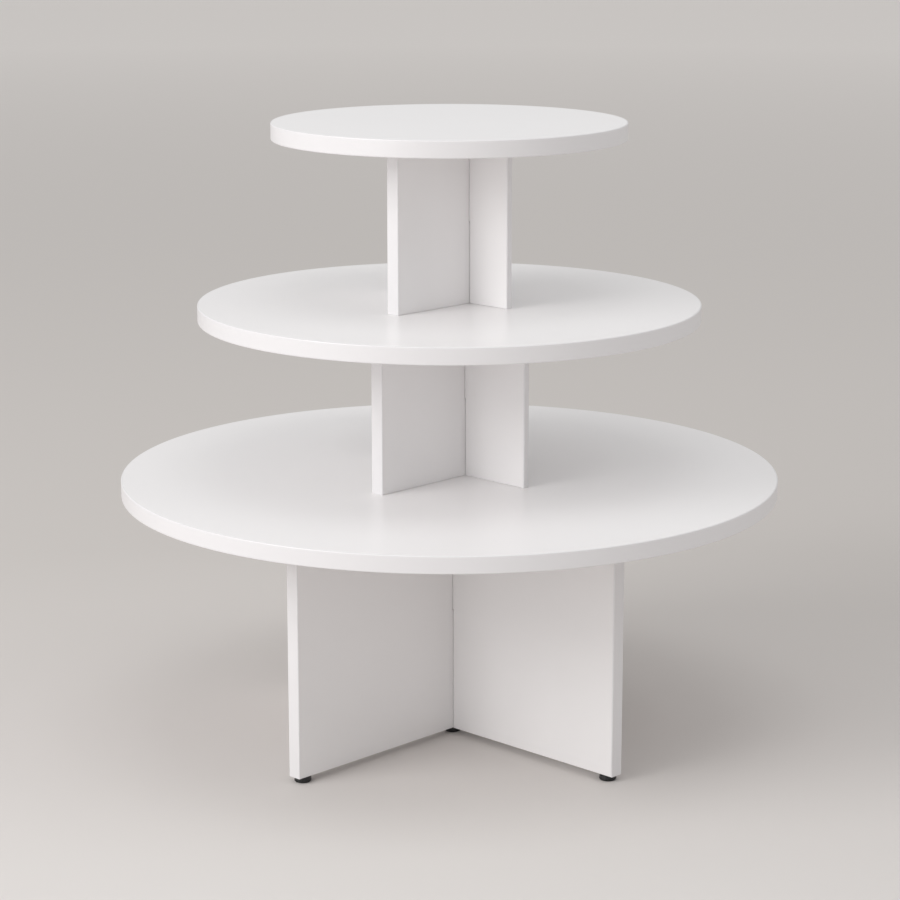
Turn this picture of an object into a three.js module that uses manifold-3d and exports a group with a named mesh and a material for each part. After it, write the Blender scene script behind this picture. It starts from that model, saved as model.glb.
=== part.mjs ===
// A round display table in three tiers. Each white top stands on a cross of two upright panels
// that lap into each other, and the lowest cross stands on five screw feet.
// Millimetres, +Z up. The origin is on the floor, on the axis that the three tops share.

import * as THREE from 'three';
import { mergeVertices } from 'three/addons/utils/BufferGeometryUtils.js';
import Module from 'manifold-3d';

// Boards and their edge bands
const TOP_THICKNESS = 28;
const THICK_PANEL = 25;
const THIN_PANEL = 12;
const BAND_THICKNESS = 2;
const TOP_BAND_ROUND = 1.6;
const PANEL_BAND_ROUND = 1.2;
const GLUE_LINE = 0.2;
const SEAT_GAP = 0.1;
const LAP_PLAY = 0.4;
const FLOOR_GAP = 10;
const RIM_FACETS = 88;
const ROUND_STEPS = 2;

// The tiers, from the floor up. A height is that of a top's upper face. Each crossing stands a little
// off the axis of the tops, and the reach of an arm is counted from its own crossing. The two upper
// crosses have a thin panel from left to right.
const TIERS = [
  {
    top: 'lower', support: 'base', diameter: 1100, height: 460, crossing: [4, 4],
    thickness: { left_right: THICK_PANEL, front_back: THICK_PANEL },
    reach: { right: 371, back: 371, left: 371, front: 371 },
  },
  {
    top: 'middle', support: 'middle', diameter: 835, height: 750, crossing: [30, -0.5],
    thickness: { left_right: THIN_PANEL, front_back: THICK_PANEL },
    reach: { right: 146, back: 146, left: 200, front: 200 },
  },
  {
    top: 'upper', support: 'upper', diameter: 585, height: 1048, crossing: [27.5, 12],
    thickness: { left_right: THIN_PANEL, front_back: THICK_PANEL },
    reach: { right: 97, back: 97, left: 172, front: 172 },
  },
];

// The arms of every cross, each with the panel that it is half of and its direction along that panel.
// A bracket's side is to the left (1) or the right (-1) of its arm, looking out from the crossing, so
// that the four brackets fill two opposite corners.
const ARMS = [
  { name: 'right', panel: 'left_right', along: 1, turn: 0, bracketSide: 1 },
  { name: 'back', panel: 'front_back', along: 1, turn: Math.PI / 2, bracketSide: -1 },
  { name: 'left', panel: 'left_right', along: -1, turn: Math.PI, bracketSide: 1 },
  { name: 'front', panel: 'front_back', along: -1, turn: -Math.PI / 2, bracketSide: -1 },
];

// Screw feet: a plastic glide on a steel stud, in an insert nut in the panel's bottom edge
const GLIDE_DIAMETER = 28;
const GLIDE_HEIGHT = 9.6;
const GLIDE_EDGE_ROUND = 3.5;
const GLIDE_ROUND_STEPS = 3;
const GLIDE_TAPER = 1;
const GLIDE_INSET = 19;
const GLIDE_SOCKET = 6;
const STUD_DIAMETER = 8;
const STUD_LENGTH = 30;
const STUD_CHAMFER = 1;
const STUD_PLAY = 0.15;
const INSERT_DIAMETER = 12;
const INSERT_LENGTH = 16;
const INSERT_BARB = 0.7;
const INSERT_BARBS = 3;
const GLIDE_FACETS = 24;
const STUD_FACETS = 16;

// Steel angle brackets between a panel and the top that it carries
const BRACKET_LEG = 40;
const BRACKET_WIDTH = 20;
const BRACKET_PLATE = 2.5;
const BRACKET_BEND = 4;
const BRACKET_HOLE = 4.6;
const BRACKET_HOLES = [14, 31];
const BRACKET_HOLE_FACETS = 8;
const BRACKET_REACH = 0.75;

// One-piece connector screws, driven up through a top into the panels that stand on it
const SCREW_HEAD = 7.5;
const SCREW_HEAD_HEIGHT = 1.2;
const SCREW_SHANK = 5;
const SCREW_CORE = 4.4;
const SCREW_LENGTH = 60;
const SCREW_POINT = 3;
const SCREW_TIP = 2;
const SCREW_SUNK = 0.4;
const SCREW_REACH = 0.6;
const SCREW_FACETS = 10;
const DRIVE_ACROSS = 3.4;
const DRIVE_DEPTH = 2.4;
const DRIVE_SIDES = 6;

// Room round what goes into a hole, how far a cutter runs past the face that it enters, and how close
// two points are that count as one
const HOLE_PLAY = 0.3;
const CUT_PAST = 1;
const SAME_POINT = 1e-4;

const wasm = await Module();
wasm.setup();

// A closed solid for joining and cutting, without the sliver faces that a lathe leaves on its axis.
function solidOf(geometry) {
  const bare = geometry.clone();
  bare.deleteAttribute('normal');
  bare.deleteAttribute('uv');
  const merged = mergeVertices(bare, SAME_POINT);
  const corners = merged.index.array;
  const kept = [];
  for (let i = 0; i < corners.length; i += 3) {
    const [a, b, c] = corners.slice(i, i + 3);
    if (a !== b && b !== c && c !== a) kept.push(a, b, c);
  }
  const vertProperties = new Float32Array(merged.attributes.position.array);
  return new wasm.Manifold(new wasm.Mesh({ numProp: 3, vertProperties, triVerts: new Uint32Array(kept) }));
}

function cut(geometry, cutters) {
  const solid = cutters.reduce((rest, cutter) => rest.subtract(solidOf(cutter)), solidOf(geometry));
  const mesh = solid.getMesh();
  const result = new THREE.BufferGeometry();
  result.setAttribute('position', new THREE.BufferAttribute(mesh.vertProperties, 3));
  result.setIndex(new THREE.BufferAttribute(mesh.triVerts, 1));
  result.computeVertexNormals();
  return result;
}

// A solid of revolution about Z from [radius, height] points.
function turned(points, facets) {
  const profile = points.map(([radius, height]) => new THREE.Vector2(radius, height));
  return new THREE.LatheGeometry(profile, facets).rotateX(Math.PI / 2);
}

// Points of a quarter round from one angle, in quarter turns, to the next.
function quarterRound(x, y, radius, firstQuarter, steps = ROUND_STEPS) {
  return Array.from({ length: steps + 1 }, (_, i) => {
    const angle = (firstQuarter + i / steps) * (Math.PI / 2);
    return [x + radius * Math.cos(angle), y + radius * Math.sin(angle)];
  });
}

const outlineOf = (points) => new THREE.Shape(points.map(([x, y]) => new THREE.Vector2(x, y)));

const laminate = () => new THREE.MeshStandardMaterial({ color: 0xeeeeec, roughness: 0.35, metalness: 0 });
const edging = () => new THREE.MeshStandardMaterial({ color: 0xf1f1ef, roughness: 0.3, metalness: 0 });
const blackPlastic = () => new THREE.MeshStandardMaterial({ color: 0x141414, roughness: 0.5, metalness: 0 });
const zincSteel = () => new THREE.MeshStandardMaterial({ color: 0xb4b6b8, roughness: 0.35, metalness: 1 });
const whiteSteel = () => new THREE.MeshStandardMaterial({ color: 0xe6e6e4, roughness: 0.5, metalness: 0 });

function piece(name, geometry, material) {
  const mesh = new THREE.Mesh(geometry, material);
  mesh.name = name;
  return mesh;
}

// Round tops

function topBoard(radius, holes) {
  const circle = new THREE.Shape().absarc(0, 0, radius - BAND_THICKNESS - GLUE_LINE, 0, 2 * Math.PI);
  const board = new THREE.ExtrudeGeometry(circle, {
    depth: TOP_THICKNESS, bevelEnabled: false, curveSegments: RIM_FACETS / 2,
  });
  return holes.length ? cut(board, holes) : board;
}

function topBand(radius) {
  const inner = radius - BAND_THICKNESS;
  const round = radius - TOP_BAND_ROUND;
  return turned([
    [inner, 0],
    ...quarterRound(round, TOP_BAND_ROUND, TOP_BAND_ROUND, -1),
    ...quarterRound(round, TOP_THICKNESS - TOP_BAND_ROUND, TOP_BAND_ROUND, 0),
    [inner, TOP_THICKNESS],
    [inner, 0],
  ], RIM_FACETS);
}

// Crossed panels

// A panel along X, standing on Z = 0, whose crossing is at X = 0. Half of its height is slotted there
// for the panel that it crosses.
function crossPanel({ start, end, height, thickness, crossed, slotAtTop, holes }) {
  const half = crossed / 2 + LAP_PLAY;
  const depth = (height + LAP_PLAY) / 2;
  const first = start + BAND_THICKNESS + GLUE_LINE;
  const last = end - BAND_THICKNESS - GLUE_LINE;
  const bottomSlot = [[-half, 0], [-half, depth], [half, depth], [half, 0]];
  const topSlot = [[half, height], [half, height - depth], [-half, height - depth], [-half, height]];
  const outline = outlineOf([
    [first, 0],
    ...(slotAtTop ? [] : bottomSlot),
    [last, 0],
    [last, height],
    ...(slotAtTop ? topSlot : []),
    [first, height],
  ]);
  const panel = new THREE.ExtrudeGeometry(outline, { depth: thickness, bevelEnabled: false })
    .translate(0, 0, -thickness / 2)
    .rotateX(Math.PI / 2);
  return cut(panel, holes);
}

// The band on the end of an arm along +X, with its outer edges rounded.
function panelBand(height, thickness) {
  const half = thickness / 2;
  const outer = -PANEL_BAND_ROUND;
  const outline = outlineOf([
    [-BAND_THICKNESS, -half],
    ...quarterRound(outer, PANEL_BAND_ROUND - half, PANEL_BAND_ROUND, -1),
    ...quarterRound(outer, half - PANEL_BAND_ROUND, PANEL_BAND_ROUND, 0),
    [-BAND_THICKNESS, half],
  ]);
  return new THREE.ExtrudeGeometry(outline, { depth: height, bevelEnabled: false });
}

// Screw feet, each standing on Z = 0

function glide() {
  const radius = GLIDE_DIAMETER / 2;
  const socket = STUD_DIAMETER / 2 + STUD_PLAY;
  const floor = GLIDE_HEIGHT - GLIDE_SOCKET;
  return turned([
    [0, 0],
    ...quarterRound(radius - GLIDE_EDGE_ROUND, GLIDE_EDGE_ROUND, GLIDE_EDGE_ROUND, -1, GLIDE_ROUND_STEPS),
    [radius - GLIDE_TAPER, GLIDE_HEIGHT],
    [socket, GLIDE_HEIGHT],
    [socket, floor],
    [0, floor],
  ], GLIDE_FACETS);
}

function footStud() {
  const radius = STUD_DIAMETER / 2;
  const tip = radius - STUD_CHAMFER;
  const bottom = GLIDE_HEIGHT - GLIDE_SOCKET + STUD_PLAY;
  const top = bottom + STUD_LENGTH;
  return turned([
    [0, bottom],
    [radius, bottom],
    [radius, top - STUD_CHAMFER],
    [tip, top],
    [0, top],
  ], STUD_FACETS);
}

// The insert nut's barbs are saw teeth that point down, against the pull of the stud.
function footInsert() {
  const bore = STUD_DIAMETER / 2 + STUD_PLAY;
  const barrel = INSERT_DIAMETER / 2;
  const pitch = INSERT_LENGTH / INSERT_BARBS;
  const base = FLOOR_GAP + SEAT_GAP;
  const barbs = Array.from({ length: INSERT_BARBS }, (_, i) => [
    [barrel + INSERT_BARB, base + i * pitch],
    [barrel, base + (i + 1) * pitch],
  ]).flat();
  return turned([
    [bore, base],
    ...barbs,
    [bore, base + INSERT_LENGTH],
    [bore, base],
  ], STUD_FACETS);
}

// The stepped hole in the panel's bottom edge: wide for the insert nut, narrow for the stud above it.
function footHole() {
  const wide = INSERT_DIAMETER / 2 + INSERT_BARB + HOLE_PLAY;
  const narrow = STUD_DIAMETER / 2 + HOLE_PLAY;
  const step = FLOOR_GAP + INSERT_LENGTH + HOLE_PLAY;
  const top = GLIDE_HEIGHT + STUD_LENGTH;
  return turned([[0, 0], [wide, 0], [wide, step], [narrow, step], [narrow, top], [0, top]], STUD_FACETS);
}

// Brackets and screws

// A bent plate whose outer faces lie on Y = 0 and Z = 0, with one leg along +Y and one down.
function angleBracket() {
  const inner = BRACKET_BEND - BRACKET_PLATE;
  const outline = outlineOf([
    ...quarterRound(BRACKET_BEND, -BRACKET_BEND, BRACKET_BEND, 1).reverse(),
    [BRACKET_LEG, 0],
    [BRACKET_LEG, -BRACKET_PLATE],
    ...quarterRound(BRACKET_BEND, -BRACKET_BEND, inner, 1),
    [BRACKET_PLATE, -BRACKET_LEG],
    [0, -BRACKET_LEG],
  ]);
  const upright = new THREE.Matrix4().makeBasis(
    new THREE.Vector3(0, 1, 0),
    new THREE.Vector3(0, 0, 1),
    new THREE.Vector3(1, 0, 0),
  );
  const plate = new THREE.ExtrudeGeometry(outline, { depth: BRACKET_WIDTH, bevelEnabled: false })
    .translate(0, 0, -BRACKET_WIDTH / 2)
    .applyMatrix4(upright);
  const drill = new THREE.CylinderGeometry(
    BRACKET_HOLE / 2, BRACKET_HOLE / 2, BRACKET_PLATE + 2 * CUT_PAST, BRACKET_HOLE_FACETS,
  );
  const holes = BRACKET_HOLES.flatMap((distance) => [
    drill.clone().translate(0, BRACKET_PLATE / 2, -distance),
    drill.clone().rotateX(Math.PI / 2).translate(0, distance, -BRACKET_PLATE / 2),
  ]);
  return cut(plate, holes);
}

// The outline of a connector screw with its head at Z = 0, or of the hole that clears it.
function screwProfile(play) {
  const head = SCREW_HEAD / 2 + play;
  const shank = SCREW_SHANK / 2 + play;
  const core = SCREW_CORE / 2 + play;
  const neck = SCREW_HEAD_HEIGHT + (SCREW_HEAD - SCREW_SHANK) / 2;
  const tip = SCREW_LENGTH + play;
  return [
    [head, SCREW_HEAD_HEIGHT],
    [shank, neck],
    [shank, TOP_THICKNESS],
    [core, TOP_THICKNESS],
    [core, tip - SCREW_POINT],
    [SCREW_TIP / 2 + play, tip],
    [0, tip],
  ];
}

function connectorScrew() {
  const body = turned([[0, 0], [SCREW_HEAD / 2, 0], ...screwProfile(0)], SCREW_FACETS);
  const drive = new THREE.CylinderGeometry(DRIVE_ACROSS / 2, DRIVE_ACROSS / 2, 2 * DRIVE_DEPTH, DRIVE_SIDES)
    .rotateX(Math.PI / 2);
  return cut(body, [drive]);
}

function screwHole() {
  const wide = SCREW_HEAD / 2 + HOLE_PLAY;
  return turned([[0, -CUT_PAST], [wide, -CUT_PAST], ...screwProfile(HOLE_PLAY)], SCREW_FACETS);
}

// Assembly

const table = new THREE.Group();

// Where the screws of the cross that stands on a top go, along each arm.
const screwReach = (support, arm) => SCREW_REACH * support.reach[arm.name];

// A point on an arm, in the plan of the whole table.
function onArm(support, arm, distance) {
  const [x, y] = support.crossing;
  return [x + distance * Math.cos(arm.turn), y + distance * Math.sin(arm.turn)];
}

TIERS.forEach((tier, level) => {
  const below = TIERS[level - 1];
  const above = TIERS[level + 1];
  const radius = tier.diameter / 2;
  const underside = tier.height - TOP_THICKNESS;
  const standsOn = (below ? below.height : FLOOR_GAP) + SEAT_GAP;
  const height = underside - SEAT_GAP - standsOn;

  const top = new THREE.Group();
  top.position.z = underside;
  const topHoles = above
    ? ARMS.map((arm) => screwHole().translate(...onArm(above, arm, screwReach(above, arm)), SCREW_SUNK))
    : [];
  top.add(piece(`${tier.top}_top_board`, topBoard(radius, topHoles), laminate()));
  top.add(piece(`${tier.top}_top_edge_band`, topBand(radius), edging()));
  table.add(top);

  const cross = new THREE.Group();
  cross.position.set(tier.crossing[0], tier.crossing[1], standsOn);
  table.add(cross);

  // The holes in a panel's bottom edge: for feet in the lowest cross, for screws in the others.
  const edgeHole = (arm) => (below
    ? screwHole().translate(arm.along * screwReach(tier, arm), 0, SCREW_SUNK - TOP_THICKNESS - SEAT_GAP)
    : footHole().translate(arm.along * (tier.reach[arm.name] - GLIDE_INSET), 0, -standsOn));
  const [right, back, left, front] = ARMS.map(edgeHole);
  const centre = below ? [] : [footHole().translate(0, 0, -standsOn)];

  const { reach, thickness } = tier;
  const leftRight = crossPanel({
    start: -reach.left, end: reach.right, height,
    thickness: thickness.left_right, crossed: thickness.front_back,
    slotAtTop: false, holes: [left, right],
  });
  cross.add(piece(`${tier.support}_panel_left_right`, leftRight, laminate()));
  const frontBack = crossPanel({
    start: -reach.front, end: reach.back, height,
    thickness: thickness.front_back, crossed: thickness.left_right,
    slotAtTop: true, holes: [front, ...centre, back],
  });
  cross.add(piece(`${tier.support}_panel_front_back`, frontBack.rotateZ(Math.PI / 2), laminate()));

  for (const arm of ARMS) {
    const spoke = new THREE.Group();
    spoke.rotation.z = arm.turn;
    cross.add(spoke);

    const ownThickness = thickness[arm.panel];
    const band = piece(`${tier.support}_${arm.name}_edge_band`, panelBand(height, ownThickness), edging());
    band.position.x = reach[arm.name];
    spoke.add(band);

    const bracket = piece(`${tier.support}_${arm.name}_bracket`, angleBracket(), whiteSteel());
    bracket.position.set(
      BRACKET_REACH * reach[arm.name],
      arm.bracketSide * (ownThickness / 2 + SEAT_GAP),
      height,
    );
    bracket.rotation.z = arm.bracketSide > 0 ? 0 : Math.PI;
    spoke.add(bracket);

    if (below) {
      const screw = piece(`${tier.support}_${arm.name}_riser_screw`, connectorScrew(), zincSteel());
      screw.position.set(screwReach(tier, arm), 0, SCREW_SUNK - TOP_THICKNESS - SEAT_GAP);
      spoke.add(screw);
    }
  }
});

// The five feet: one near the end of each arm of the lowest cross and one under its crossing.
const [base] = TIERS;
const FEET = [
  ...ARMS.map((arm) => ({ name: arm.name, place: onArm(base, arm, base.reach[arm.name] - GLIDE_INSET) })),
  { name: 'centre', place: base.crossing },
];
for (const { name, place } of FEET) {
  const foot = new THREE.Group();
  foot.position.set(...place, 0);
  foot.add(piece(`${name}_glide`, glide(), blackPlastic()));
  foot.add(piece(`${name}_foot_stud`, footStud(), zincSteel()));
  foot.add(piece(`${name}_foot_insert`, footInsert(), zincSteel()));
  table.add(foot);
}

export default table;
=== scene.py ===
"""A round display table in three tiers. White tops stand on crosses of two lapped panels, and the lowest
cross stands on five black screw feet. Metres, +Z up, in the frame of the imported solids."""

import math

import bmesh
import bpy
from mathutils import Matrix, Vector


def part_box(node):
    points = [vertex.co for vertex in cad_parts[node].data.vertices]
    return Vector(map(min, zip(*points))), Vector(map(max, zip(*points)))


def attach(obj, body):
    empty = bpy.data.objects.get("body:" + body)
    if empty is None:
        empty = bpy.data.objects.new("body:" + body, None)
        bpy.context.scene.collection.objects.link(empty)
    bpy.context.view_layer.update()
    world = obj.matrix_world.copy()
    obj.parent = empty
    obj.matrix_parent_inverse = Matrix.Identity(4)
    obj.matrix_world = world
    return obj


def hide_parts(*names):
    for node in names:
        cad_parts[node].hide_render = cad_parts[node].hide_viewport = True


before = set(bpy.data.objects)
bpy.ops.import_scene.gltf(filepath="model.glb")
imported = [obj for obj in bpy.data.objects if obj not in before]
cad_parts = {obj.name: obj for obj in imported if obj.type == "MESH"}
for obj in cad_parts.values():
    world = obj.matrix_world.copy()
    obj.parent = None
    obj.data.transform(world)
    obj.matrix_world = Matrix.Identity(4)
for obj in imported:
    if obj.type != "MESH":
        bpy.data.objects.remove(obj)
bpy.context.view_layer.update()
scene = bpy.context.scene
MM = 0.001


# Camera: a long lens a little above the uppermost top, tilted down. It faces the corner between the front
# arms, which show on the left of the picture, and the right arms.
LENS_MM = 105.4
SENSOR_MM = 36
CAMERA_TURN = math.radians(44)
CAMERA_TILT = math.radians(12.96)
CAMERA_DISTANCE = 4.3228
CAMERA_HEIGHT = 1.4904
CAMERA_SIDESTEP = 0.001

lens = bpy.data.cameras.new("camera")
lens.lens = LENS_MM
lens.sensor_width = SENSOR_MM
camera = bpy.data.objects.new("camera", lens)
outward = Vector((math.sin(CAMERA_TURN), -math.cos(CAMERA_TURN), 0))
rightward = Vector((math.cos(CAMERA_TURN), math.sin(CAMERA_TURN), 0))
camera.location = CAMERA_DISTANCE * outward + CAMERA_SIDESTEP * rightward
camera.location.z = CAMERA_HEIGHT
camera.rotation_euler = (math.pi / 2 - CAMERA_TILT, 0, CAMERA_TURN)
scene.collection.objects.link(camera)
scene.camera = camera
scene.view_settings.view_transform = "Standard"


# Crossed panels: under each top stand two boards on edge, particle board with white melamine on its faces.
# Each is slotted to half its height and they are pushed into each other. Feet or screws go into holes that
# are bored in their bottom edges.
CROSSES = ("base", "middle", "upper")
# Along is the axis of a panel's length: 0 for X, 1 for Y.
PANELS = (
    {
        "name": "left_right", "along": 0, "ends": ("left", "right"),
        "crosses": "front_back", "slot_at_top": False,
    },
    {
        "name": "front_back", "along": 1, "ends": ("front", "back"),
        "crosses": "left_right", "slot_at_top": True,
    },
)
LAP_PLAY = 0.7 * MM
ARRIS = 0.9 * MM
ARRIS_STEPS = 3
GLUE_LINE = 0.05 * MM
# Two places that are closer than this count as one.
NEAR = 0.01 * MM
# Steps of the holes as (diameter, height above the board's bottom edge) in mm.
FOOT_BORE = ((14, 0), (14, 16.2), (8.6, 16.2), (8.6, 29.5))
SCREW_BORE = ((5.6, 0), (5.6, 0.3), (5, 0.3), (5, 29.6), (2.6, 32.6))
BORE_SIDES = 32
SMOOTH_BELOW = math.radians(35)
# Nearly all values of a noise texture lie between these two.
NOISE_LOW = 0.3
NOISE_HIGH = 0.7


def linear(hex_colour):
    """The linear RGBA of an sRGB hex colour."""
    channels = [int(hex_colour[i:i + 2], 16) / 255 for i in (0, 2, 4)]
    return [c / 12.92 if c <= 0.04045 else ((c + 0.055) / 1.055) ** 2.4 for c in channels] + [1]


def add_node(tree, kind, settings=None, links=None):
    """Adds a node. Settings are values of its inputs and properties, links are what feeds its inputs."""
    node = tree.nodes.new(kind)
    for name, value in (settings or {}).items():
        if isinstance(name, int) or name in node.inputs:
            node.inputs[name].default_value = value
        else:
            setattr(node, name, value)
    for name, socket in (links or {}).items():
        tree.links.new(socket, node.inputs[name])
    return node


def surface_finish(name, tones, tone_mm, gloss, gloss_mm, grain_mm, relief_mm):
    """A finish that drifts between two tones and between two roughness values, with a fine relief."""
    material = bpy.data.materials.new(name)
    material.use_nodes = True
    tree = material.node_tree
    shader = tree.nodes["Principled BSDF"]
    places = add_node(tree, "ShaderNodeTexCoord").outputs["Object"]

    def noise(size_mm, detail):
        settings = {"Scale": 1 / (size_mm * MM), "Detail": detail}
        return add_node(tree, "ShaderNodeTexNoise", settings, {"Vector": places}).outputs[0]

    tone = add_node(
        tree, "ShaderNodeMix",
        {"data_type": "RGBA", 6: linear(tones[0]), 7: linear(tones[1])}, {0: noise(tone_mm, detail=3)},
    )
    rough = add_node(
        tree, "ShaderNodeMapRange",
        {"From Min": NOISE_LOW, "From Max": NOISE_HIGH, "To Min": gloss[0], "To Max": gloss[1]},
        {0: noise(gloss_mm, detail=4)},
    )
    grain = noise(grain_mm, detail=2)
    relief = add_node(tree, "ShaderNodeBump", {"Distance": relief_mm * MM}, {"Height": grain})
    tree.links.new(tone.outputs[2], shader.inputs["Base Color"])
    tree.links.new(rough.outputs[0], shader.inputs["Roughness"])
    tree.links.new(relief.outputs[0], shader.inputs["Normal"])
    return material


def finished(name, bm, material):
    """Makes a piece of a bmesh, facing outwards, with its flat faces flat and its rounds smooth."""
    bmesh.ops.recalc_face_normals(bm, faces=bm.faces)
    mesh = bpy.data.meshes.new(name)
    bm.to_mesh(mesh)
    bm.free()
    mesh.materials.append(material)
    mesh.shade_smooth()
    mesh.set_sharp_from_angle(angle=SMOOTH_BELOW)
    piece = bpy.data.objects.new(name, mesh)
    scene.collection.objects.link(piece)
    piece.modifiers.new("flat_faces", "WEIGHTED_NORMAL").keep_sharp = True
    return piece


def draw_ring(bm, centre, diameter_mm, sides):
    """A ring of edges in a level plane."""
    place = Matrix.Translation(centre)
    made = bmesh.ops.create_circle(bm, segments=sides, radius=diameter_mm / 2 * MM, matrix=place)
    return list({edge for vert in made["verts"] for edge in vert.link_edges})


def raise_ring(bm, ring, centre, steps):
    """Draws a ring of edges up through (diameter, height) steps in mm, and returns its last edges."""
    for (width, level), (next_width, next_level) in zip(steps, steps[1:]):
        made = bmesh.ops.extrude_edge_only(bm, edges=ring)["geom"]
        verts = [part for part in made if isinstance(part, bmesh.types.BMVert)]
        ring = [part for part in made if isinstance(part, bmesh.types.BMEdge) and part.is_boundary]
        change = next_width / width
        bmesh.ops.scale(bm, vec=(change, change, 1), space=Matrix.Translation(-centre), verts=verts)
        bmesh.ops.translate(bm, vec=(0, 0, (next_level - level) * MM), verts=verts)
    return ring


def open_face(bm, face, rings):
    """Fills a flat face anew between its border and the rings inside it."""
    borders = list(face.edges) + [edge for ring in rings for edge in ring]
    bmesh.ops.delete(bm, geom=[face], context="FACES_ONLY")
    bmesh.ops.triangle_fill(bm, use_beauty=True, edges=borders)


def bore_up(bm, places, steps):
    """Bores the same blind hole up from each place, which lies on a level face."""
    rings = {}
    for place in places:
        face = next(
            face for face in bm.faces
            if abs(face.calc_center_median().z - place.z) < NEAR
            and bmesh.geometry.intersect_face_point(face, place)
        )
        rings.setdefault(face, []).append((place, draw_ring(bm, place, steps[0][0], BORE_SIDES)))
    for face, bores in rings.items():
        open_face(bm, face, [ring for _, ring in bores])
        for place, ring in bores:
            bmesh.ops.edgeloop_fill(bm, edges=raise_ring(bm, ring, place, steps))


def slotted_board(low, high, along, slot, slot_at_top):
    """A board on edge between two corners, with a slot between two places along its length."""
    depth = (high.z - low.z + LAP_PLAY) / 2
    first, last = low[along], high[along]
    near, far = slot
    bottom_slot = [(near, low.z), (near, low.z + depth), (far, low.z + depth), (far, low.z)]
    top_slot = [(far, high.z), (far, high.z - depth), (near, high.z - depth), (near, high.z)]
    lower_edge = [(first, low.z), *([] if slot_at_top else bottom_slot), (last, low.z)]
    upper_edge = [(last, high.z), *(top_slot if slot_at_top else []), (first, high.z)]
    bm = bmesh.new()
    outline = []
    for distance, height in lower_edge + upper_edge:
        corner = low.copy()
        corner[along] = distance
        corner.z = height
        outline.append(bm.verts.new(corner))
    made = bmesh.ops.extrude_face_region(bm, geom=[bm.faces.new(outline)])["geom"]
    verts = [part for part in made if isinstance(part, bmesh.types.BMVert)]
    thickness = Vector((0, 0, 0))
    thickness[1 - along] = high[1 - along] - low[1 - along]
    bmesh.ops.translate(bm, vec=thickness, verts=verts)
    bmesh.ops.recalc_face_normals(bm, faces=bm.faces)

    def on_end(edge, end):
        return all(abs(vert.co[along] - end) < NEAR for vert in edge.verts)

    arrises = [
        edge for edge in bm.edges
        if edge.is_convex and not on_end(edge, first) and not on_end(edge, last)
    ]
    bmesh.ops.bevel(
        bm, geom=arrises, offset=ARRIS, offset_type="OFFSET", segments=ARRIS_STEPS, profile=0.5,
        affect="EDGES", material=-1,
    )
    return bm


def foot_of(low, high):
    """The middle of the bottom of a box."""
    return Vector(((low.x + high.x) / 2, (low.y + high.y) / 2, low.z))


# Melamine laminate is resin-soaked paper pressed against a satin steel plate: an even white with a soft,
# slightly pearly gloss. The pearl is finer than a millimetre and is drawn at 3 mm, so that it shows.
melamine = surface_finish(
    "white_melamine_laminate", tones=("f2f0f0", "f0eeee"), tone_mm=180,
    gloss=(0.28, 0.3), gloss_mm=60, grain_mm=3, relief_mm=0.0003,
)
melamine.node_tree.nodes["Principled BSDF"].inputs["IOR"].default_value = 1.5

for cross in CROSSES:
    for panel in PANELS:
        along = panel["along"]
        node = f"{cross}_panel_{panel['name']}"
        low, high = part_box(node)
        first_band, last_band = (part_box(f"{cross}_{end}_edge_band") for end in panel["ends"])
        low[along] = first_band[1][along] + GLUE_LINE
        high[along] = last_band[0][along] - GLUE_LINE
        other_low, other_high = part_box(f"{cross}_panel_{panel['crosses']}")
        slot = (other_low[along] - LAP_PLAY, other_high[along] + LAP_PLAY)
        bm = slotted_board(low, high, along, slot, panel["slot_at_top"])

        if cross == "base":
            feet = panel["ends"] + (("centre",) if panel["slot_at_top"] else ())
            holes = [foot_of(*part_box(f"{foot}_glide")) for foot in feet]
            steps = FOOT_BORE
        else:
            holes = [foot_of(*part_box(f"{cross}_{end}_riser_screw")) for end in panel["ends"]]
            steps = SCREW_BORE
        for hole in holes:
            hole.z = low.z
        bore_up(bm, holes, steps)

        board = finished(f"{cross}_{panel['name']}_board", bm, melamine)
        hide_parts(node)
        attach(board, "table")


# End bands: white ABS, hot-glued on the two ends of every panel. The long outer edges are milled to a small
# round when the band is trimmed flush with the faces.
ARMS = {
    "right": Vector((1, 0)),
    "back": Vector((0, 1)),
    "left": Vector((-1, 0)),
    "front": Vector((0, -1)),
}
END_BAND_ROUND = 1.9 * MM
END_BAND_STEPS = 4

# Extruded ABS: a shade darker than the boards and as smooth, with a faint waviness from the trimming cutter.
edging = surface_finish(
    "white_abs_edging", tones=("e6e4e5", "e4e2e3"), tone_mm=400,
    gloss=(0.28, 0.31), gloss_mm=120, grain_mm=4, relief_mm=0.0005,
)
edging.node_tree.nodes["Principled BSDF"].inputs["IOR"].default_value = 1.53

for cross in CROSSES:
    for arm, direction in ARMS.items():
        node = f"{cross}_{arm}_edge_band"
        low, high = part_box(node)
        bm = bmesh.new()
        bmesh.ops.create_cube(bm, size=1, matrix=Matrix.LocRotScale((low + high) / 2, None, high - low))
        tip = max(vert.co.xy.dot(direction) for vert in bm.verts)
        outer = [vert for vert in bm.verts if tip - vert.co.xy.dot(direction) < NEAR]
        uprights = [
            edge for edge in bm.edges
            if all(vert in outer for vert in edge.verts) and edge.verts[0].co.xy == edge.verts[1].co.xy
        ]
        bmesh.ops.bevel(
            bm, geom=uprights, offset=END_BAND_ROUND, offset_type="OFFSET", segments=END_BAND_STEPS,
            profile=0.5, affect="EDGES", material=-1,
        )
        band = finished(f"{cross}_{arm}_end_band", bm, edging)
        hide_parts(node)
        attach(band, "table")


# Screw feet: a black polypropylene glide is moulded on the head of an M8 steel stud, which screws into an
# insert nut in the panel's bottom edge. Turning a glide raises or lowers that foot.
FEET = (*ARMS, "centre")
GLIDE_SIDES = 72
# The outer corners of a glide as (radius, height) in mm, before they are rounded.
GLIDE_FOOT = (14.57, 0)
GLIDE_SHOULDER = (13, 9.6)
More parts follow.
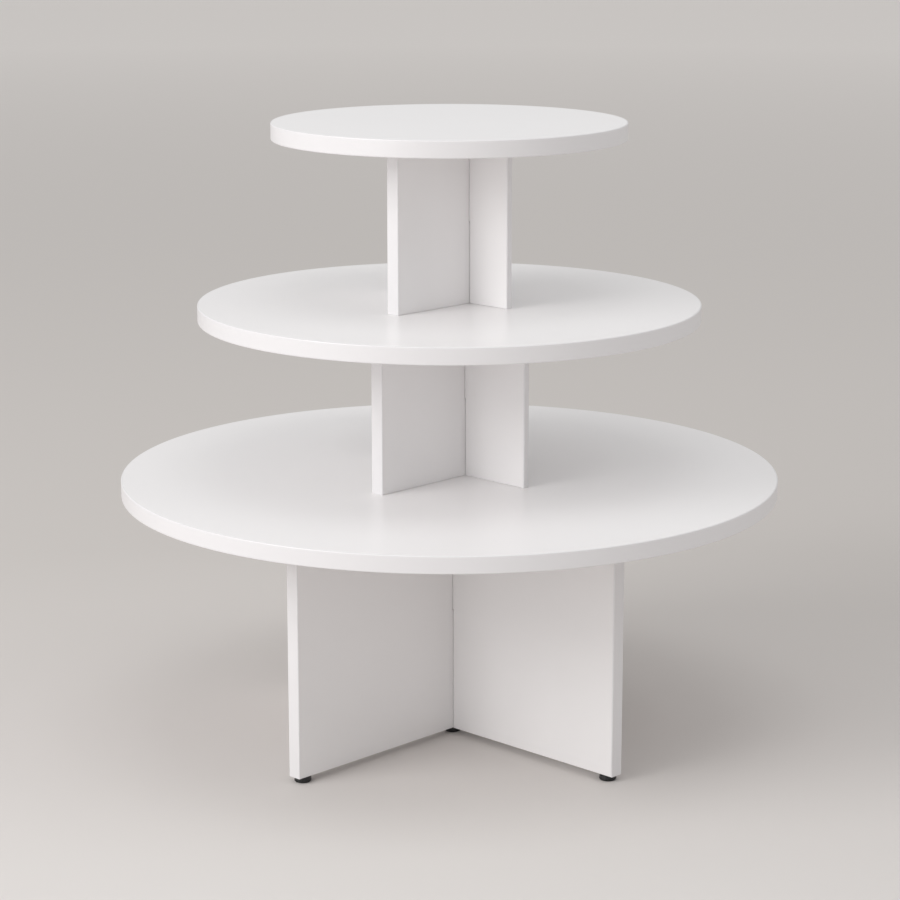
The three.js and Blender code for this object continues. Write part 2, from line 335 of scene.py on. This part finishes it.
# Its half section, from the dish in the underside past the groove in the upper face to the stud's socket.
GLIDE_SECTION = (
    (0, 0.4), (6.8, 0.4), (7.2, 0), GLIDE_FOOT, GLIDE_SHOULDER, (10.4, 9.6), (10, 9), (8.4, 9), (8, 9.6),
    (4.15, 9.6), (4.15, 3.6), (0, 3.6),
)
GLIDE_FOOT_ROUND = 3.5 * MM
GLIDE_FOOT_STEPS = 6
GLIDE_SHOULDER_ROUND = 0.6 * MM
GLIDE_SHOULDER_STEPS = 3
THREAD_PITCH_MM = 1.25
THREAD_DEPTH_MM = 0.77
THREAD_SIDES = 32
STUD_TIP_MM = 1


def turn(bm, section, centre, sides):
    """Spins a half section of (radius, height) points in mm about the upright axis through a centre."""
    verts = [bm.verts.new(centre + MM * Vector((radius, 0, height))) for radius, height in section]
    edges = [bm.edges.new(pair) for pair in zip(verts, verts[1:])]
    bmesh.ops.spin(
        bm, geom=verts + edges, cent=centre, axis=(0, 0, 1), angle=math.tau, steps=sides, use_merge=True,
    )
    bmesh.ops.remove_doubles(bm, verts=bm.verts, dist=NEAR / 10)


def round_ring(bm, centre, corner, offset, segments):
    """Rounds the circle that one (radius, height) corner of a half section in mm has drawn."""
    radius, height = corner[0] * MM, corner[1] * MM

    def on_circle(vert):
        place = vert.co - centre
        return abs(place.xy.length - radius) < NEAR and abs(place.z - height) < NEAR

    ring = [edge for edge in bm.edges if all(on_circle(vert) for vert in edge.verts)]
    bmesh.ops.bevel(
        bm, geom=ring, offset=offset, offset_type="OFFSET", segments=segments, profile=0.5,
        affect="EDGES", material=-1,
    )


def threaded_stud(low, high):
    """A rod with a helical thread and a chamfered upper end, between the corners of a box."""
    bm = bmesh.new()
    crest = (high.x - low.x) / 2 / MM
    root = crest - THREAD_DEPTH_MM
    pitch = THREAD_PITCH_MM
    groove = (
        (crest, 0), (crest, pitch / 8), (root, pitch * 7 / 16), (root, pitch * 11 / 16), (crest, pitch),
    )
    axis = foot_of(low, high)
    # The thread starts below the rod and ends above it, and both ends are then cut off square.
    start = axis - Vector((0, 0, 1.5 * pitch * MM))
    turns = math.ceil((high.z - low.z) / (pitch * MM)) + 3
    verts = [bm.verts.new(start + MM * Vector((radius, 0, height))) for radius, height in groove]
    edges = [bm.edges.new(pair) for pair in zip(verts, verts[1:])]
    bmesh.ops.spin(
        bm, geom=verts + edges, cent=axis, axis=(0, 0, 1), angle=math.tau * turns,
        steps=turns * THREAD_SIDES, dvec=(0, 0, pitch * MM / THREAD_SIDES),
    )
    bmesh.ops.remove_doubles(bm, verts=bm.verts, dist=NEAR)
    for level, keep_above in ((low.z, True), (high.z, False)):
        bmesh.ops.bisect_plane(
            bm, geom=bm.verts[:] + bm.edges[:] + bm.faces[:], plane_co=(axis.x, axis.y, level),
            plane_no=(0, 0, 1), clear_inner=keep_above, clear_outer=not keep_above,
        )
    bmesh.ops.edgeloop_fill(bm, edges=[edge for edge in bm.edges if edge.is_boundary])

    # The upper end is drawn in to a chamfer of 45 degrees.
    for vert in bm.verts:
        reach = (vert.co - axis).xy
        limit = (crest - STUD_TIP_MM) * MM + high.z - vert.co.z
        if reach.length > limit:
            vert.co.xy = axis.xy + reach * (limit / reach.length)
    return bm


# Moulded polypropylene: black and dull, with the fine texture of a spark-eroded mould, drawn at 0.8 mm.
black_plastic = surface_finish(
    "moulded_black_polypropylene", tones=("101011", "1a1a1b"), tone_mm=6,
    gloss=(0.36, 0.5), gloss_mm=4, grain_mm=0.8, relief_mm=0.03,
)
black_plastic.node_tree.nodes["Principled BSDF"].inputs["IOR"].default_value = 1.49

# Zinc-plated steel: a bright metal, slightly blue, with faint clouds from the plating bath.
zinc = surface_finish(
    "bright_zinc_plated_steel", tones=("c3c7cc", "b3b6ba"), tone_mm=5,
    gloss=(0.28, 0.38), gloss_mm=3, grain_mm=0.6, relief_mm=0.004,
)
zinc.node_tree.nodes["Principled BSDF"].inputs["Metallic"].default_value = 1

for foot in FEET:
    glide_node = f"{foot}_glide"
    centre = foot_of(*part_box(glide_node))
    bm = bmesh.new()
    turn(bm, GLIDE_SECTION, centre, GLIDE_SIDES)
    round_ring(bm, centre, GLIDE_FOOT, GLIDE_FOOT_ROUND, GLIDE_FOOT_STEPS)
    round_ring(bm, centre, GLIDE_SHOULDER, GLIDE_SHOULDER_ROUND, GLIDE_SHOULDER_STEPS)
    glide = finished(f"{foot}_moulded_glide", bm, black_plastic)
    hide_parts(glide_node)
    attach(glide, f"{foot}_foot")

    stud_node = f"{foot}_foot_stud"
    stud = finished(f"{foot}_threaded_stud", threaded_stud(*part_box(stud_node)), zinc)
    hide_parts(stud_node)
    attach(stud, f"{foot}_foot")

    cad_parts[f"{foot}_foot_insert"].material_slots[0].material = zinc


# Round tops: 28 mm particle board with white melamine on both faces, cut to a circle. The lower and middle
# ones are bored from below for the four screws that hold the cross on top of them.
# Each top, and the cross that stands on it.
TOPS = {"lower": "middle", "middle": "upper", "upper": None}
TOP_THICKNESS_MM = 28
RIM_BAND_MM = 2
RIM_SIDES = 256
# Steps of a screw's hole as (diameter, height above the underside) in mm: the head's seat, then its shank.
TOP_BORE = ((8.1, 0), (8.1, 1.6), (5.6, 2.85), (5.6, TOP_THICKNESS_MM))

for top, cross_above in TOPS.items():
    node = f"{top}_top_board"
    low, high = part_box(node)
    bm = bmesh.new()
    centre = Vector((0, 0, low.z))
    inner_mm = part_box(f"{top}_top_edge_band")[1].x / MM - RIM_BAND_MM
    diameter_mm = 2 * (inner_mm - GLUE_LINE / MM)
    thickness_mm = (high.z - low.z) / MM
    rim = draw_ring(bm, centre, diameter_mm, RIM_SIDES)
    screws = [f"{cross_above}_{arm}_riser_screw" for arm in ARMS] if cross_above else []
    holes = [foot_of(*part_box(screw)) for screw in screws]
    for hole in holes:
        hole.z = low.z
    bores = [draw_ring(bm, hole, TOP_BORE[0][0], BORE_SIDES) for hole in holes]
    lower_edges = rim + [edge for ring in bores for edge in ring]
    bmesh.ops.triangle_fill(bm, use_beauty=True, edges=lower_edges)
    upper_edges = raise_ring(bm, rim, centre, ((diameter_mm, 0), (diameter_mm, thickness_mm)))
    for hole, ring in zip(holes, bores):
        upper_edges += raise_ring(bm, ring, hole, TOP_BORE)
    bmesh.ops.triangle_fill(bm, use_beauty=True, edges=upper_edges)
    board = finished(f"{top}_round_board", bm, melamine)
    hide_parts(node)
    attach(board, "table")


# Rim bands: the same ABS as on the panels' ends, bent round each top and glued. Both outer edges are milled
# to a small round that catches a thin line of light.
RIM_ROUND = 1.9 * MM
RIM_ROUND_STEPS = 5

for top in TOPS:
    node = f"{top}_top_edge_band"
    low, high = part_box(node)
    outer_mm = high.x / MM
    inner_mm = outer_mm - RIM_BAND_MM
    height_mm = (high.z - low.z) / MM
    centre = Vector((0, 0, low.z))
    bm = bmesh.new()
    lower_corner = (outer_mm, 0)
    upper_corner = (outer_mm, height_mm)
    section = ((inner_mm, 0), lower_corner, upper_corner, (inner_mm, height_mm), (inner_mm, 0))
    turn(bm, section, centre, RIM_SIDES)
    for corner in (lower_corner, upper_corner):
        round_ring(bm, centre, corner, RIM_ROUND, RIM_ROUND_STEPS)
    band = finished(f"{top}_rim_band", bm, edging)
    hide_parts(node)
    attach(band, "table")


# Angle brackets: punched from 2.5 mm steel strip, bent square and powder-coated white. Each holds a panel
# to the top above it with four pan-head wood screws, which cut their own way into the boards.
# The way that the level leg of each arm's bracket points, out from the panel's face.
BRACKET_ARMS = {
    "right": Vector((0, 1)),
    "back": Vector((1, 0)),
    "left": Vector((0, -1)),
    "front": Vector((-1, 0)),
}
BRACKET_LEG = 40 * MM
BRACKET_WIDTH = 20 * MM
BRACKET_PLATE_MM = 2.5
BRACKET_BEND = 4 * MM
BRACKET_BEND_STEPS = 8
BRACKET_INNER_BEND_STEPS = 6
BRACKET_CORNER = 4 * MM
BRACKET_CORNER_STEPS = 6
BRACKET_HOLE_MM = 4.6
BRACKET_HOLE_STEPS = ((BRACKET_HOLE_MM, 0), (BRACKET_HOLE_MM, BRACKET_PLATE_MM))
BRACKET_HOLES = (14 * MM, 31 * MM)
# A face whose normal rises or falls more steeply than this is level.
NEARLY_LEVEL = 0.99
# Half section of a wood screw as (radius, height above the underside of its head) in mm, from the flat of
# the head to the point, and its cross recess.
WOOD_SCREW_SECTION = (
    (2.4, -2.4), (3.3, -1.9), (3.8, -1.1), (3.9, -0.5), (3.9, 0), (2, 0), (2, 9), (1.2, 10.4), (0, 12),
)
WOOD_SCREW_SIDES = 32
RECESS_REACH_MM = 2.1
RECESS_HALF_WIDTH_MM = 0.5
# The recess narrows to 0.6 of its width at a depth of 1.5 mm.
RECESS_STEPS = ((1, 0), (0.6, 1.5))
# Trades the two legs of a bracket, through the plane that halves its bend.
LEG_SWAP = Matrix(((0, 0, -1, 0), (0, 1, 0, 0), (-1, 0, 0, 0), (0, 0, 0, 1)))


def bent_bracket():
    """A bracket whose bend runs along Y through the origin, with one leg along +X and one down."""
    plate = BRACKET_PLATE_MM * MM
    leg = BRACKET_LEG
    half_width = BRACKET_WIDTH / 2
    bm = bmesh.new()
    outline = ((0, 0), (leg, 0), (leg, -plate), (plate, -plate), (plate, -leg), (0, -leg))
    side = bm.faces.new([bm.verts.new((x, -half_width, z)) for x, z in outline])
    made = bmesh.ops.extrude_face_region(bm, geom=[side])["geom"]
    verts = [part for part in made if isinstance(part, bmesh.types.BMVert)]
    bmesh.ops.translate(bm, vec=(0, BRACKET_WIDTH, 0), verts=verts)

    def on_bend(co):
        return max(abs(co.x), abs(co.z)) < NEAR

    def on_inner_bend(co):
        return max(abs(co.x - plate), abs(co.z + plate)) < NEAR

    def on_back_corner(co):
        return max(co.x, -co.z) > leg - NEAR and co.y > 0

    def on_front_corner(co):
        return max(co.x, -co.z) > leg - NEAR and co.y < 0

    rounds = (
        (on_bend, BRACKET_BEND, BRACKET_BEND_STEPS),
        (on_inner_bend, BRACKET_BEND - plate, BRACKET_INNER_BEND_STEPS),
        (on_back_corner, BRACKET_CORNER, BRACKET_CORNER_STEPS),
        (on_front_corner, BRACKET_CORNER, BRACKET_CORNER_STEPS),
    )
    for on_edge, radius, segments in rounds:
        edges = [edge for edge in bm.edges if all(on_edge(vert.co) for vert in edge.verts)]
        bmesh.ops.bevel(
            bm, geom=edges, offset=radius, offset_type="OFFSET", segments=segments, profile=0.5,
            affect="EDGES", material=-1,
        )

    # The legs trade places after the first is punched, so that the second is punched in the same way.
    for _ in range(2):
        bmesh.ops.recalc_face_normals(bm, faces=bm.faces)
        level = [face for face in bm.faces if abs(face.normal.z) > NEARLY_LEVEL]
        upper = next(face for face in level if face.normal.z > 0)
        lower = next(
            face for face in level if face.normal.z < 0 and face.calc_center_median().z > -2 * plate
        )
        centres = [Vector((distance, 0, -plate)) for distance in BRACKET_HOLES]
        lower_rings = [draw_ring(bm, centre, BRACKET_HOLE_MM, BORE_SIDES) for centre in centres]
        upper_rings = [
            raise_ring(bm, ring, centre, BRACKET_HOLE_STEPS) for ring, centre in zip(lower_rings, centres)
        ]
        open_face(bm, lower, lower_rings)
        open_face(bm, upper, upper_rings)
        bmesh.ops.transform(bm, matrix=LEG_SWAP, verts=bm.verts)
    return bm


def bracket_screws():
    """The four wood screws of a bracket, two up through the level leg and two through the upright one."""
    bm = bmesh.new()
    for distance in BRACKET_HOLES:
        centre = Vector((distance, 0, -BRACKET_PLATE_MM * MM))
        screw = bmesh.new()
        turn(screw, WOOD_SCREW_SECTION, centre, WOOD_SCREW_SIDES)
        head_rim = [edge for edge in screw.edges if edge.is_boundary]
        head = centre + Vector((0, 0, WOOD_SCREW_SECTION[0][1] * MM))
        reach = RECESS_REACH_MM * MM
        half = RECESS_HALF_WIDTH_MM * MM
        corners = [
            head + Matrix.Rotation(quarter * math.pi / 2, 3, "Z") @ Vector((x, y, 0))
            for quarter in range(4) for x, y in ((reach, -half), (reach, half), (half, half))
        ]
        verts = [screw.verts.new(corner) for corner in corners]
        recess = [screw.edges.new((verts[i - 1], verts[i])) for i in range(len(verts))]
        bmesh.ops.triangle_fill(screw, use_beauty=True, edges=head_rim + recess)
        bmesh.ops.edgeloop_fill(screw, edges=raise_ring(screw, recess, head, RECESS_STEPS))
        upward = bpy.data.meshes.new("wood_screw")
        screw.to_mesh(upward)
        screw.free()
        bm.from_mesh(upward)
        upward.transform(LEG_SWAP)
        bm.from_mesh(upward)
        bpy.data.meshes.remove(upward)
    return bm


# Powder coat: baked polyester, white, with the orange-peel skin that it keeps where it flowed together.
powder_coat = surface_finish(
    "white_powder_coat", tones=("ebebe9", "e6e6e4"), tone_mm=25,
    gloss=(0.36, 0.46), gloss_mm=12, grain_mm=1.8, relief_mm=0.05,
)
powder_coat.node_tree.nodes["Principled BSDF"].inputs["IOR"].default_value = 1.5

for cross in CROSSES:
    for arm, leg_direction in BRACKET_ARMS.items():
        node = f"{cross}_{arm}_bracket"
        low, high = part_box(node)
        corner = (low + high) / 2
        corner.xy -= leg_direction * BRACKET_LEG / 2
        corner.z = high.z
        turned = Matrix.Rotation(math.atan2(leg_direction.y, leg_direction.x), 4, "Z")
        place = Matrix.Translation(corner) @ turned

        bm = bent_bracket()
        bmesh.ops.transform(bm, matrix=place, verts=bm.verts)
        bracket = finished(f"{cross}_{arm}_angle_bracket", bm, powder_coat)
        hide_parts(node)
        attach(bracket, "table")

        bm = bracket_screws()
        bmesh.ops.transform(bm, matrix=place, verts=bm.verts)
        screws = finished(f"{cross}_{arm}_bracket_screws", bm, zinc)
        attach(screws, "table")


# Connector screws: one-piece zinc-plated screws with a flat head and a hexagon socket. They are driven up
# through a top into the bottom edges of the cross that stands on it, and their heads sit just inside it.
CONNECTOR_SIDES = 48
# Half section as (radius, height above the head's flat) in mm, from the head past the shank, which is as
# long as a top is thick, to the point.
CONNECTOR_SECTION = (
    (3.4, 0), (3.75, 0.35), (3.75, 1.2), (2.5, 2.45), (2.5, TOP_THICKNESS_MM), (2.2, TOP_THICKNESS_MM),
    (2.2, 57), (1, 60), (0, 60),
)
SOCKET_MM = 3.4
SOCKET_SIDES = 6
SOCKET_STEPS = ((SOCKET_MM, 0), (SOCKET_MM, 2.4))

for cross in CROSSES[1:]:
    for arm in ARMS:
        node = f"{cross}_{arm}_riser_screw"
        head = foot_of(*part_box(node))
        bm = bmesh.new()
        turn(bm, CONNECTOR_SECTION, head, CONNECTOR_SIDES)
        head_rim = [edge for edge in bm.edges if edge.is_boundary]
        socket = draw_ring(bm, head, SOCKET_MM, SOCKET_SIDES)
        bmesh.ops.triangle_fill(bm, use_beauty=True, edges=head_rim + socket)
        bmesh.ops.edgeloop_fill(bm, edges=raise_ring(bm, socket, head, SOCKET_STEPS))
        connector = finished(f"{cross}_{arm}_connector_screw", bm, zinc)
        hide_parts(node)
        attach(connector, "table")


# Studio: a wide pale floor whose colour carries painted light and shade: a painted pool of light in front of
# the table that darkens to a painted ring of shade behind it and turns lighter again far away, an even white
# surround, and four large soft lamps: two on the left, one high above and a weak one on the right.
FLOOR_RADIUS = 60
FLOOR_SIDES = 128
# The painted pool of light on the floor is centred this far in front of the table, towards the camera.
PAINTED_POOL_DISTANCE = 1.2
# The floor's painted light and shade as (distance in metres from a place that far in front of the table,
# sRGB): lighter near that place and far away, darker in a ring behind the table.
PAINTED_POOL_COLOURS = ((0.6, "d9d5d2"), (1.3, "d4cfcc"), (2.5, "ccc7c3"), (4.2, "d3ceca"), (17, "f6f1ed"))

floor_mesh = bmesh.new()
bmesh.ops.create_circle(floor_mesh, cap_ends=True, segments=FLOOR_SIDES, radius=FLOOR_RADIUS)
floor_finish = bpy.data.materials.new("matt_studio_paper_with_painted_light")
floor_finish.use_nodes = True
tree = floor_finish.node_tree
shader = tree.nodes["Principled BSDF"]
shader.inputs["Roughness"].default_value = 0.8
shader.inputs["Specular IOR Level"].default_value = 0.2
places = add_node(tree, "ShaderNodeTexCoord").outputs["Object"]
distance = add_node(
    tree, "ShaderNodeVectorMath", {"operation": "DISTANCE", 1: PAINTED_POOL_DISTANCE * outward}, {0: places},
).outputs["Value"]
reach, far_colour = PAINTED_POOL_COLOURS[-1]
share = add_node(tree, "ShaderNodeMath", {"operation": "DIVIDE", 1: reach}, {0: distance})
# This ramp paints light and shade into the floor's colour: a pool of light in front of the table, a ring of
# shade behind it, and lighter floor far away.
painted_pool = add_node(tree, "ShaderNodeValToRGB", links={0: share.outputs[0]})
stops = painted_pool.color_ramp.elements
stops.remove(stops[0])
stops[0].position = 1
for stop_distance, colour in PAINTED_POOL_COLOURS[:-1]:
    stops.new(stop_distance / reach).color = linear(colour)
stops[-1].color = linear(far_colour)
tree.links.new(painted_pool.outputs[0], shader.inputs["Base Color"])
floor = finished("floor", floor_mesh, floor_finish)

world = bpy.data.worlds.new("studio")
world.use_nodes = True
scene.world = world
background = world.node_tree.nodes["Background"]
background.inputs["Color"].default_value = (1, 1, 1, 1)
background.inputs["Strength"].default_value = 0.62

# Each lamp as (turn to the right of the camera's axis, elevation, watts).
SOFT_LAMPS = ((-45, 15, 66), (-60, 30, 138), (10, 75, 42), (70, 50, 28))
LAMP_SIDE = 3
LAMP_DISTANCE = 6
LAMPS_AIM = Vector((0, 0, 0.6))

for number, (turn_degrees, elevation_degrees, watts) in enumerate(SOFT_LAMPS, start=1):
    name = f"soft_lamp_{number}"
    around = math.radians(turn_degrees)
    elevation = math.radians(elevation_degrees)
    level = math.cos(around) * outward + math.sin(around) * rightward
    from_aim = math.cos(elevation) * level + Vector((0, 0, math.sin(elevation)))
    light = bpy.data.lights.new(name, "AREA")
    light.size = LAMP_SIDE
    light.energy = watts
    lamp = bpy.data.objects.new(name, light)
    lamp.location = LAMPS_AIM + LAMP_DISTANCE * from_aim
    lamp.rotation_euler = from_aim.to_track_quat("Z", "Y").to_euler()
    lamp.visible_camera = False
    scene.collection.objects.link(lamp)
